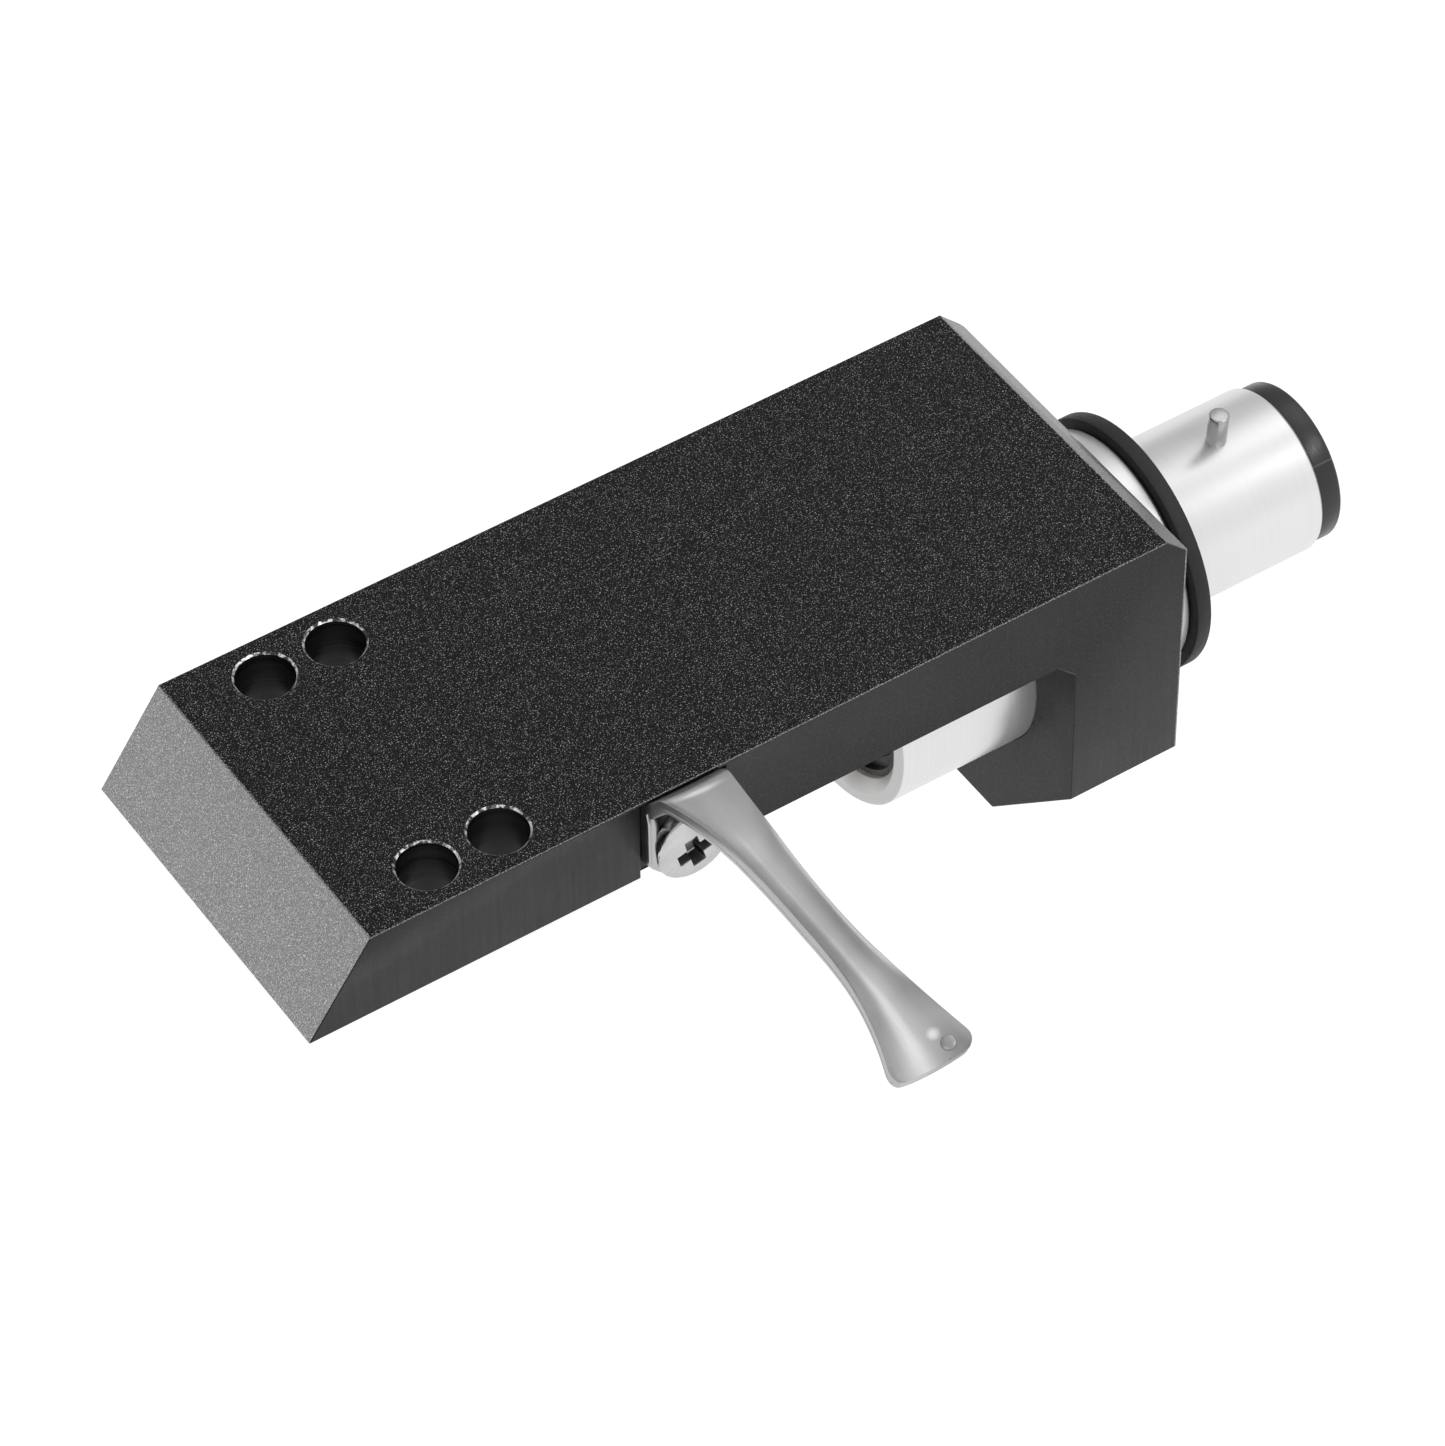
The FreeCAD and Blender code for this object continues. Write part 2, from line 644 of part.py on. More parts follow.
pieces = [
    make_headshell_body(),
    make_connector_tube(),
    make_locating_pin(),
    make_rubber_washer(),
    make_rear_insulator(),
    make_front_insulator(),
    make_finger_lift(),
    make_lift_washer(),
    make_lift_screw(),
    make_clamp_screw(),
]
pieces += [make_contact(channel, *spot) for channel, spot in zip(CHANNELS, contact_spots())]
doc.recompute()

for item in doc.Objects:
    if {"Invalid", "Error"} & set(item.State):
        raise RuntimeError(f"{item.Name} failed: {item.State}")
for piece in pieces:
    if piece.Shape.isNull() or not piece.Shape.isValid():
        raise RuntimeError(f"{piece.Label} is not a valid solid")

os.makedirs("parts", exist_ok=True)
for piece in pieces:
    piece.Shape.exportStep(f"parts/{piece.Label}.step")
    box = piece.Shape.BoundBox
    print(f"{piece.Label}: {len(piece.Shape.Solids)} solid, {piece.Shape.Volume:.2f} mm3, "
          f"x {box.XMin:.2f} to {box.XMax:.2f}, y {box.YMin:.2f} to {box.YMax:.2f}, "
          f"z {box.ZMin:.2f} to {box.ZMax:.2f}")
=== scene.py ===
import math

import bmesh
import bpy
from mathutils import Matrix, Vector


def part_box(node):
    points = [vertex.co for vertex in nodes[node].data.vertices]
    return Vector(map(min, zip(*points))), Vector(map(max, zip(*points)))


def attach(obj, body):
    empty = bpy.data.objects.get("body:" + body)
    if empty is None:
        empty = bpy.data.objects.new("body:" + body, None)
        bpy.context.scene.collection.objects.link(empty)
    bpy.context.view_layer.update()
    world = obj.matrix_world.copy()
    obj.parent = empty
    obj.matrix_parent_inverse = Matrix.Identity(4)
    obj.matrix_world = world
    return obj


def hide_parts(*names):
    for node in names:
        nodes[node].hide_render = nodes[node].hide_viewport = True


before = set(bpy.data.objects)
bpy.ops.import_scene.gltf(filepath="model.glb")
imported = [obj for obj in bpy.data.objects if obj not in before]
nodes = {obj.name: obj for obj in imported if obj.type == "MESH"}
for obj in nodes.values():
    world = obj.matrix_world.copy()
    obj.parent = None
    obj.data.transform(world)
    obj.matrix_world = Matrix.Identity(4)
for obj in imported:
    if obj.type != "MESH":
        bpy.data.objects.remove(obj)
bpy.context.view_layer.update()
mm = 0.001
print("frame loaded")


def addNode(tree, kind, inputs=None, **settings):
    node = tree.nodes.new(kind)
    for name, setting in settings.items():
        setattr(node, name, setting)
    for socket, source in (inputs or {}).items():
        if isinstance(source, bpy.types.NodeSocket):
            tree.links.new(source, node.inputs[socket])
        else:
            node.inputs[socket].default_value = source
    return node


def startMaterial(name, **fixedSockets):
    material = bpy.data.materials.new(name)
    material.use_nodes = True
    tree = material.node_tree
    shader = tree.nodes["Principled BSDF"]
    for socket, number in fixedSockets.items():
        shader.inputs[socket.replace("_", " ")].default_value = number
    place = addNode(tree, "ShaderNodeTexCoord").outputs["Object"]
    return material, tree, shader, place


# stretch is in noise cells per millimetre along x, y and z
def noise(tree, place, stretch, detail=2.0, rough=0.5):
    cells = [number / mm for number in stretch]
    turned = addNode(tree, "ShaderNodeMapping", {"Vector": place, "Scale": cells})
    inputs = {"Vector": turned.outputs[0], "Scale": 1.0, "Detail": detail, "Roughness": rough}
    return addNode(tree, "ShaderNodeTexNoise", inputs).outputs["Fac"]


def remap(tree, source, low, high, newLow=0.0, newHigh=1.0):
    inputs = {"Value": source, "From Min": low, "From Max": high, "To Min": newLow, "To Max": newHigh}
    return addNode(tree, "ShaderNodeMapRange", inputs).outputs[0]


def maths(tree, operation, first, second=0.0):
    return addNode(tree, "ShaderNodeMath", {0: first, 1: second}, operation=operation).outputs[0]


def mixColour(tree, factor, first, second):
    inputs = {0: factor, 6: (*first, 1) if isinstance(first, tuple) else first,
              7: (*second, 1) if isinstance(second, tuple) else second}
    return addNode(tree, "ShaderNodeMix", inputs, data_type="RGBA").outputs[2]


# depth is in millimetres; a second bump is laid over the first
def bump(tree, shader, height, depth):
    node = addNode(tree, "ShaderNodeBump", {"Height": height, "Distance": depth * mm, "Strength": 1.0})
    before = shader.inputs["Normal"].links
    if before:
        tree.links.new(before[0].from_socket, node.inputs["Normal"])
    tree.links.new(node.outputs[0], shader.inputs["Normal"])


def grey(level):
    return (level, level, level)


# how near a place is to a spot: 1 inside the radius, 0 beyond the fade, all in millimetres
def nearSpot(tree, place, spot, radius, fade):
    inputs = {0: place, 1: [number * mm for number in spot]}
    away = addNode(tree, "ShaderNodeVectorMath", inputs, operation="DISTANCE").outputs["Value"]
    return remap(tree, away, radius * mm, (radius + fade) * mm, 1.0, 0.0)


def blastedBlack(name, dark, pale, glint, rough=0.42, shine=0.3):
    look = dict(grain=18.0, coarse=3.2, depth=0.012, tone=(0.4, 0.62), speckle=(0.61, 0.68), duller=0.1,
                glossier=0.08, coarseShare=0.5)
    material, tree, shader, place = startMaterial(name)
    shader.inputs["Specular IOR Level"].default_value = shine
    fine = noise(tree, place, (look["grain"],) * 3, 2.0, 0.6)
    coarse = noise(tree, place, (look["coarse"],) * 3, 2.0)
    colour = mixColour(tree, remap(tree, fine, *look["tone"]), grey(dark), grey(pale))
    colour = mixColour(tree, remap(tree, fine, *look["speckle"]), colour, grey(glint))
    tree.links.new(colour, shader.inputs["Base Color"])
    worn = remap(tree, fine, 0.3, 0.7, rough + look["duller"], rough - look["glossier"])
    tree.links.new(worn, shader.inputs["Roughness"])
    bump(tree, shader, fine, look["depth"])
    bump(tree, shader, coarse, look["depth"] * look["coarseShare"])
    return material


# when set, the block's front is darkened where it meets the plate: painted shade under the plate
def milledBlack(name, stretch, dark, pale, shine, paintedShadeUnderPlate=False):
    look = dict(grain=14.0, cloud=0.25, depth=0.004, grainShare=0.8, tone=(0.35, 0.7), speckle=(0.52, 0.68),
                shadeX=(8.6, 9.0), shadeZ=(1.0, 3.0), shadeTone=0.12)
    material, tree, shader, place = startMaterial(name)
    shader.inputs["Specular IOR Level"].default_value = shine
    marks = noise(tree, place, stretch, 3.0, 0.6)
    grain = noise(tree, place, (look["grain"],) * 3, 2.0)
    cloud = noise(tree, place, (look["cloud"],) * 3, 2.0)
    colour = mixColour(tree, remap(tree, marks, *look["tone"]), grey(dark), grey(pale))
    colour = mixColour(tree, remap(tree, grain, *look["speckle"]), colour, grey(pale * 2.0))
    # painted shade: the block's front darkens up towards the plate, where the plate shades it
    if paintedShadeUnderPlate:
        parts = addNode(tree, "ShaderNodeSeparateXYZ", {0: place})
        inFront = remap(tree, parts.outputs["X"], *(edge * mm for edge in look["shadeX"]))
        above = remap(tree, parts.outputs["Z"], *(edge * mm for edge in look["shadeZ"]))
        root = maths(tree, "MULTIPLY", maths(tree, "MULTIPLY", inFront, above), 1 - look["shadeTone"])
        colour = mixColour(tree, root, colour, grey(dark * look["shadeTone"]))
    tree.links.new(colour, shader.inputs["Base Color"])
    dull = remap(tree, cloud, 0.3, 0.7, 0.32, 0.4)
    worn = maths(tree, "ADD", remap(tree, marks, 0.3, 0.7, -0.05, 0.06), dull)
    tree.links.new(worn, shader.inputs["Roughness"])
    bump(tree, shader, marks, look["depth"])
    bump(tree, shader, grain, look["depth"] * look["grainShare"])
    return material


def wornEdge(name, bright, cells):
    look = dict(dark=0.012, worn=(0.44, 0.58), metal=0.8, depth=0.004)
    material, tree, shader, place = startMaterial(name)
    broken = noise(tree, place, (cells,) * 3, 3.0, 0.6)
    bare = remap(tree, broken, *look["worn"])
    colour = mixColour(tree, bare, grey(look["dark"]), grey(bright))
    tree.links.new(colour, shader.inputs["Base Color"])
    tree.links.new(remap(tree, bare, 0, 1, 0.0, look["metal"]), shader.inputs["Metallic"])
    tree.links.new(remap(tree, broken, 0.3, 0.7, 0.5, 0.36), shader.inputs["Roughness"])
    bump(tree, shader, broken, look["depth"])
    return material


def cutBlack(name, rings, rough=0.3):
    look = dict(dark=0.003, pale=0.014, shine=0.2, depth=0.006)
    material, tree, shader, place = startMaterial(name)
    shader.inputs["Specular IOR Level"].default_value = look["shine"]
    marks = noise(tree, place, rings, 3.0, 0.6)
    colour = mixColour(tree, remap(tree, marks, 0.4, 0.7), grey(look["dark"]), grey(look["pale"]))
    tree.links.new(colour, shader.inputs["Base Color"])
    tree.links.new(remap(tree, marks, 0.3, 0.7, rough - 0.08, rough + 0.1), shader.inputs["Roughness"])
    bump(tree, shader, marks, look["depth"])
    return material


def turnedSilver(name, level, base, around, depth, metallic):
    look = dict(cloud=0.4, grain=14.0, ringTone=0.96, grainShare=0.6)
    material, tree, shader, place = startMaterial(name, Metallic=metallic)
    rings = noise(tree, place, around, 3.0, 0.6)
    cloud = noise(tree, place, (look["cloud"],) * 3, 2.0)
    grain = noise(tree, place, (look["grain"],) * 3, 2.0)
    colour = mixColour(tree, remap(tree, rings, 0.3, 0.7), grey(level * look["ringTone"]), grey(level))
    tree.links.new(colour, shader.inputs["Base Color"])
    rough = maths(tree, "ADD", remap(tree, cloud, 0.3, 0.7, base - 0.02, base + 0.02),
                  remap(tree, rings, 0.3, 0.7, -0.02, 0.03))
    tree.links.new(rough, shader.inputs["Roughness"])
    bump(tree, shader, rings, depth)
    bump(tree, shader, grain, depth * look["grainShare"])
    return material


def blackMoulding(name, level, shine):
    look = dict(seamAngle=40.0, seamHalf=0.8, seamDepth=0.02, seamLevel=0.09, seamShare=0.8, skinDepth=0.003)
    material, tree, shader, place = startMaterial(name)
    shader.inputs["Specular IOR Level"].default_value = shine
    skin = noise(tree, place, (5.0, 5.0, 5.0), 3.0)
    drift = noise(tree, place, (0.5, 0.5, 0.5), 2.0)
    scuffs = noise(tree, place, (6.0, 1.2, 1.2), 3.0, 0.7)
    parts = addNode(tree, "ShaderNodeSeparateXYZ", {0: place})
    angle = maths(tree, "ARCTAN2", parts.outputs["Z"], parts.outputs["Y"])
    offSeam = maths(tree, "ABSOLUTE", maths(tree, "SUBTRACT", angle, math.radians(look["seamAngle"])))
    seamHalf = math.radians(look["seamHalf"])
    seam = remap(tree, offSeam, seamHalf * 0.5, seamHalf, 1.0, 0.0)
    colour = mixColour(tree, drift, grey(level * 0.7), grey(level * 1.5))
    colour = mixColour(tree, maths(tree, "MULTIPLY", seam, look["seamShare"]), colour, grey(look["seamLevel"]))
    tree.links.new(colour, shader.inputs["Base Color"])
    dull = remap(tree, drift, 0.3, 0.7, 0.30, 0.42)
    rubbed = remap(tree, scuffs, 0.55, 0.7, 0.0, 0.14)
    tree.links.new(maths(tree, "SUBTRACT", dull, rubbed), shader.inputs["Roughness"])
    bump(tree, shader, skin, look["skinDepth"])
    bump(tree, shader, seam, look["seamDepth"])
    return material


def washerRubber():
    look = dict(level=0.012, shine=0.4, grain=6.0, depth=0.010)
    material, tree, shader, place = startMaterial("washerRubber")
    shader.inputs["Specular IOR Level"].default_value = look["shine"]
    grain = noise(tree, place, (look["grain"],) * 3, 3.0)
    colour = mixColour(tree, grain, grey(look["level"] * 0.6), grey(look["level"] * 1.6))
    tree.links.new(colour, shader.inputs["Base Color"])
    tree.links.new(remap(tree, grain, 0.3, 0.7, 0.5, 0.66), shader.inputs["Roughness"])
    bump(tree, shader, grain, look["depth"])
    return material


def liftSatin(name, level, streaks, marks=0.0032):
    look = dict(grain=16.0, depth=0.0016, rough=0.33, cloudTone=(0.92, 1.04), glintLevel=0.82,
                glint=(28.60, 25.60, 10.13), glintRadius=0.1, glintFade=0.22)
    # painted highlights and painted shade, seen from above: x, y, radius, fade and tone
    paintedLightSpots = [(29.2, 12.0, 1.5, 4.0, 1.15), (28.0, 26.8, 0.3, 1.4, 0.62), (28.15, 23.9, 0.1, 0.9, 0.98),
             (28.6, 22.0, 0.3, 1.2, 1.15), (30.2, 26.0, 0.3, 1.2, 1.10)]
    material, tree, shader, place = startMaterial(name, Metallic=1.0)
    grain = noise(tree, place, (look["grain"],) * 3, 2.0)
    cloud = noise(tree, place, (0.8, 0.35, 0.8), 3.0)
    lines = noise(tree, place, streaks, 3.0, 0.65)
    # painted glint: a small spot near the tip gets a near-white base colour where a highlight falls
    paintedGlint = nearSpot(tree, place, look["glint"], look["glintRadius"], look["glintFade"])
    flattened = addNode(tree, "ShaderNodeVectorMath", {0: place, 1: (1, 1, 0)}, operation="MULTIPLY")
    plan = flattened.outputs["Vector"]
    tone = remap(tree, cloud, 0.3, 0.7, *(level * share for share in look["cloudTone"]))
    # each spot scales the base colour up for a painted highlight or down for painted shade
    for x, y, radius, fade, paintedTone in paintedLightSpots:
        near = nearSpot(tree, plan, (x, y, 0), radius, fade)
        tone = maths(tree, "MULTIPLY", tone, remap(tree, near, 0.0, 1.0, 1.0, paintedTone))
    colour = mixColour(tree, paintedGlint, tone, grey(look["glintLevel"]))
    tree.links.new(colour, shader.inputs["Base Color"])
    rough = maths(tree, "ADD", remap(tree, cloud, 0.3, 0.7, look["rough"] - 0.03, look["rough"] + 0.05),
                  remap(tree, lines, 0.3, 0.7, -0.03, 0.03))
    tree.links.new(rough, shader.inputs["Roughness"])
    bump(tree, shader, grain, look["depth"])
    bump(tree, shader, lines, marks)
    return material


def brightSteel(name, level, rough, streaks=(8.0, 0.6, 8.0)):
    look = dict(cloud=1.2, cloudTone=0.85, depth=0.002)
    material, tree, shader, place = startMaterial(name, Metallic=1.0)
    lines = noise(tree, place, streaks, 3.0, 0.6)
    cloud = noise(tree, place, (look["cloud"],) * 3, 3.0)
    colour = mixColour(tree, remap(tree, cloud, 0.3, 0.7), grey(level * look["cloudTone"]), grey(level))
    tree.links.new(colour, shader.inputs["Base Color"])
    tree.links.new(remap(tree, lines, 0.3, 0.7, rough * 0.8, rough * 1.25), shader.inputs["Roughness"])
    bump(tree, shader, lines, look["depth"])
    return material


def giltContact():
    look = dict(dark=(0.72, 0.48, 0.16), pale=(0.86, 0.62, 0.26), depth=0.0015)
    material, tree, shader, place = startMaterial("giltContact", Metallic=1.0)
    lines = noise(tree, place, (10.0, 1.0, 1.0), 3.0)
    colour = mixColour(tree, remap(tree, lines, 0.3, 0.7), look["dark"], look["pale"])
    tree.links.new(colour, shader.inputs["Base Color"])
    tree.links.new(remap(tree, lines, 0.3, 0.7, 0.18, 0.3), shader.inputs["Roughness"])
    bump(tree, shader, lines, look["depth"])
    return material


finishes = {
    "blasted": blastedBlack("blastedTop", 0.002, 0.010, 0.5, 0.46, 0.13),
    # the nose's copy of the blasted black is made much paler: painted sheen where the nose faces the nose softbox
    "nose": blastedBlack("blastedNosePaintedSheen", 0.20, 0.42, 0.9, 0.40),
    "chamfer": blastedBlack("blastedChamfer", 0.02, 0.05, 0.4, 0.26, 1.0),
    "sides": milledBlack("milledSides", (5.0, 0.3, 0.3), 0.004, 0.012, 0.19),
    # the ends' copy carries the painted shade under the plate
    "ends": milledBlack("milledEnds", (0.3, 4.0, 1.2), 0.010, 0.019, 0.10, True),
    "drilled": cutBlack("drilledBlack", (0.12, 0.12, 3.2)),
    "bored": cutBlack("boredBlack", (3.2, 0.12, 0.12)),
    "edge": wornEdge("wornEdge", 0.34, 13.0),
    "rim": wornEdge("wornRim", 0.8, 4.0),
    "tube": turnedSilver("turnedTube", 0.80, 0.33, (9.0, 0.05, 0.05), 0.0003, 0.7),
    "tubeFace": turnedSilver("facedTube", 0.54, 0.40, (6.0, 6.0, 6.0), 0.001, 0.85),
    "moulding": blackMoulding("blackMoulding", 0.012, 0.5),
    "dullMoulding": blackMoulding("dullMoulding", 0.006, 0.16),
    "rubber": washerRubber(),
    "pin": brightSteel("groundPin", 0.42, 0.2, (1.0, 1.0, 8.0)),
    "lift": liftSatin("liftFace", 0.51, (6.0, 0.25, 6.0)),
    "liftEdge": liftSatin("liftEdge", 0.44, (3.0, 9.0, 9.0), 0.006),
    "screw": brightSteel("brightScrew", 0.56, 0.24),
    # the dark steel is the washer's and clamp screw's own colour, and painted shade on the lift screw's recess walls
    "darkSteelAndRecessShade": brightSteel("darkSteelAndRecessShade", 0.12, 0.35, (6.0, 6.0, 2.0)),
    "gilt": giltContact(),
}
print("finishes made")


def finishPiece(shape, name, body, replaced, materials, sharpAngle=30.0):
    mesh = bpy.data.meshes.new(name)
    shape.to_mesh(mesh)
    shape.free()
    piece = bpy.data.objects.new(name, mesh)
    bpy.context.scene.collection.objects.link(piece)
    for material in materials:
        mesh.materials.append(finishes[material])
    mesh.set_sharp_from_angle(angle=math.radians(sharpAngle))
    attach(piece, body)
    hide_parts(*replaced)


def copyOfNode(name):
    shape = bmesh.new()
    shape.from_mesh(nodes[name].data)
    bmesh.ops.remove_doubles(shape, verts=shape.verts, dist=0.0005 * mm)
    bmesh.ops.dissolve_limit(shape, angle_limit=math.radians(0.2), verts=shape.verts, edges=shape.edges)
    for face in shape.faces:
        face.material_index = 0
    return shape


def breakEdges(shape, wanted, width, segments, newMaterial=None):
    edges = [edge for edge in shape.edges if len(edge.link_faces) == 2 and wanted(edge)]
    made = bmesh.ops.bevel(shape, geom=edges, offset=width * mm, offset_type="OFFSET", segments=segments,
                           profile=0.5, affect="EDGES", clamp_overlap=False, material=-1)
    if newMaterial is not None:
        for face in made["faces"]:
            face.material_index = newMaterial


# a closed outline of (x, radius) pairs, in millimetres, turned round the X axis
def spinProfile(points, segments):
    shape = bmesh.new()
    ring = [shape.verts.new((x * mm, 0.0, radius * mm)) for x, radius in points]
    sides = [shape.edges.new((ring[index - 1], ring[index])) for index in range(len(ring))]
    bmesh.ops.spin(shape, geom=ring + sides, cent=(0, 0, 0), axis=(1, 0, 0), angle=math.tau,
                   steps=segments, use_merge=True, use_duplicate=False)
    bmesh.ops.remove_doubles(shape, verts=shape.verts, dist=0.0005 * mm)
    bmesh.ops.recalc_face_normals(shape, faces=shape.faces)
    return shape


def smoothAll(shape):
    for face in shape.faces:
        face.smooth = True


def makeShell():
    shell = dict(edge=0.04, shortest=1.0, sharp=20.0, verySharp=44.0, boreRadius=5.8, flatness=0.999,
                 slant=0.2, noseReach=5.0, rimTilt=(0.5, 0.9), rimDepth=0.2, sideReach=0.6, footTilt=0.3,
                 footTop=-3.5, footRadius=6.5, cornerTilt=0.6, cornerReach=1.0, cornerOut=7.0)
    low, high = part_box("headshell_body")
    shape = copyOfNode("headshell_body")
    materials = ["blasted", "nose", "chamfer", "sides", "ends", "drilled", "bored", "edge", "rim"]
    use = {name: index for index, name in enumerate(materials)}
    for face in shape.faces:
        normal = face.normal
        middle = face.calc_center_median()
        fromAxis = math.hypot(middle.y, middle.z)
        slanted = min(abs(normal.x), abs(normal.z)) > shell["slant"] and abs(normal.y) < 0.01
        atFoot = min(abs(normal.y), abs(normal.z)) > shell["footTilt"] and abs(normal.x) < 0.01
        atCorner = min(abs(normal.x), abs(normal.y)) > shell["cornerTilt"]
        face.smooth = False
        if abs(normal.z) > shell["flatness"]:
            face.material_index = use["blasted"]
        elif slanted and middle.x > high.x - shell["noseReach"] * mm:
            face.material_index = use["nose"]
        elif slanted and face.calc_area() > mm * mm:
            face.material_index = use["chamfer"]
        elif shell["rimTilt"][0] < normal.z < shell["rimTilt"][1] and middle.z > high.z - shell["rimDepth"] * mm:
            face.material_index = use["rim"]
            face.smooth = True
        elif abs(normal.y) > shell["flatness"] and abs(middle.y) > high.y - shell["sideReach"] * mm:
            face.material_index = use["sides"]
        elif abs(normal.x) > shell["flatness"]:
            face.material_index = use["ends"]
        elif atFoot and middle.z < shell["footTop"] * mm and fromAxis > shell["footRadius"] * mm:
            face.material_index = use["ends"]
        elif atCorner and middle.x < low.x + shell["cornerReach"] * mm and abs(middle.y) > shell["cornerOut"] * mm:
            face.material_index = use["edge"]
        else:
            face.material_index = use["bored"] if fromAxis < shell["boreRadius"] * mm else use["drilled"]
            face.smooth = True

    def isLong(edge, sharpness):
        if any(face.smooth for face in edge.link_faces) or edge.calc_length() <= shell["shortest"] * mm:
            return False
        return edge.calc_face_angle(0) > math.radians(sharpness)

    def isTopEdge(edge):
        return isLong(edge, shell["sharp"]) and all(corner.co.z > high.z - 0.01 * mm for corner in edge.verts)

    breakEdges(shape, isTopEdge, shell["edge"], 2, use["edge"])
    breakEdges(shape, lambda edge: isLong(edge, shell["verySharp"]), shell["edge"], 1)
    finishPiece(shape, "shell", "shell", ["headshell_body"], materials)


turnedPieces = [
    dict(name="tube", node="connector_tube", body="connector", slot="satin_aluminium", soften=0.05,
         materials=["tube", "tubeFace"],
         outline=[(-7.76, 3.2), (-7.76, 3.80), (-7.61, 3.95), (0.80, 3.95), (0.80, 5.50), (0.95, 5.65),
                  (16.05, 5.65), (16.20, 5.50), (16.20, 5.09), (15.64, 4.53), (12.60, 4.53), (12.60, 3.2)]),
    dict(name="rearMoulding", node="rear_insulator", body="connector", slot="black_moulding", soften=0.06,
         materials=["moulding"],
         outline=[(-8.88, 0.0), (-8.88, 3.66), (-8.76, 3.78), (-7.76, 3.78), (-7.76, 3.2), (12.6, 3.2), (12.6, 0.0)]),
    dict(name="frontMoulding", node="front_insulator", body="connector", slot="black_moulding", soften=0.04,
         materials=["dullMoulding"],
         outline=[(12.6, 0.0), (12.6, 4.53), (15.45, 4.53), (15.45, 4.23), (15.05, 4.23), (15.05, 3.78),
                  (14.65, 3.78), (14.65, 3.1), (15.05, 3.1), (15.05, 0.0)]),
    dict(name="washer", node="rubber_washer", body="washer", slot="black_rubber", soften=0.12,
         materials=["rubber"], outline=[(0.0, 4.0), (0.78, 4.0), (0.78, 6.1), (0.0, 6.1)]),
]


def makeTurned(name, node, body, slot, soften, materials, outline, segments=176):
    shape = spinProfile(outline, segments)
    if len(materials) > 1:
        for face in shape.faces:
            face.material_index = int(abs(face.normal.x) > 0.4)
    breakEdges(shape, lambda edge: edge.calc_face_angle(0) > math.radians(25), soften, 2)
    smoothAll(shape)
    finishPiece(shape, name, body, [node], materials)


def dressNode(node, name, body, material, width, sharpest=35.0):
    shape = copyOfNode(node)
    breakEdges(shape, lambda edge: edge.calc_face_angle(0) > math.radians(sharpest), width, 2)
    smoothAll(shape)
    finishPiece(shape, name, body, [node], [material])


# the head's edge is rounded and drawn in underneath; its cross recess is turned and moved, and its walls take the
# dark steel as painted shade
def makeLiftScrew():
    screw = dict(axis=(29.05, 7.0), turn=15.0, shift=(0.3, 0.08), soften=0.07, face=9.6, floor=9.0, recess=1.3,
                 cross=(0.1, -0.4), middle=0.5, mouth=(0.30, 0.819), bottom=(0.24, 0.796), crown=9.75,
                 shoulder=9.62, edge=1.5, underside=8.8, waist=9.3, faceRadius=1.75, headRadius=1.8, under=1.45)
    shape = copyOfNode("lift_screw")
    axis = Vector((screw["axis"][0], 0, screw["axis"][1])) * mm
    cross = Vector((screw["cross"][0], 0, screw["cross"][1])) * mm
    turn = Matrix.Rotation(math.radians(screw["turn"]), 3, "Y")
    floor = (screw["floor"] - 0.05) * mm
    for corner in shape.verts:
        away = corner.co - axis
        onFace = away.y > (screw["face"] - 0.05) * mm
        if away.y > floor and math.hypot(away.x, away.z) < screw["recess"] * mm:
            half, reach = screw["mouth"] if onFace else screw["bottom"]
            for side in (0, 2):
                size = half if abs(away[side]) < screw["middle"] * mm else reach
                away[side] = math.copysign(size * mm, away[side])
            if onFace:
                away.y = screw["crown"] * mm
            away += cross
        away = turn @ away
        across = math.hypot(away.x, away.z)
        if across > screw["edge"] * mm and away.y > screw["underside"] * mm:
            if away.y < screw["waist"] * mm:
                radius, height = screw["under"] * mm, away.y
            elif onFace:
                radius, height = screw["faceRadius"] * mm, screw["crown"] * mm
            else:
                radius, height = screw["headRadius"] * mm, screw["shoulder"] * mm
            away = Vector((away.x * radius / across, height, away.z * radius / across))
        corner.co = axis + away
    shape.normal_update()
    for face in shape.faces:
        middle = face.calc_center_median() - axis
        inside = math.hypot(middle.x, middle.z) < screw["recess"] * mm and middle.y > floor
        # walls inside the cross recess get the dark steel: painted shade in the recess
        isShadedWall = inside and abs(face.normal.y) < 0.9
        face.material_index = 1 if isShadedWall else 0
    breakEdges(shape, lambda edge: edge.calc_face_angle(0) > math.radians(30), screw["soften"], 2)
    bmesh.ops.translate(shape, verts=shape.verts, vec=(screw["shift"][0] * mm, 0, screw["shift"][1] * mm))
    smoothAll(shape)
    finishPiece(shape, "liftScrew", "shell", ["lift_screw"], ["screw", "darkSteelAndRecessShade"])


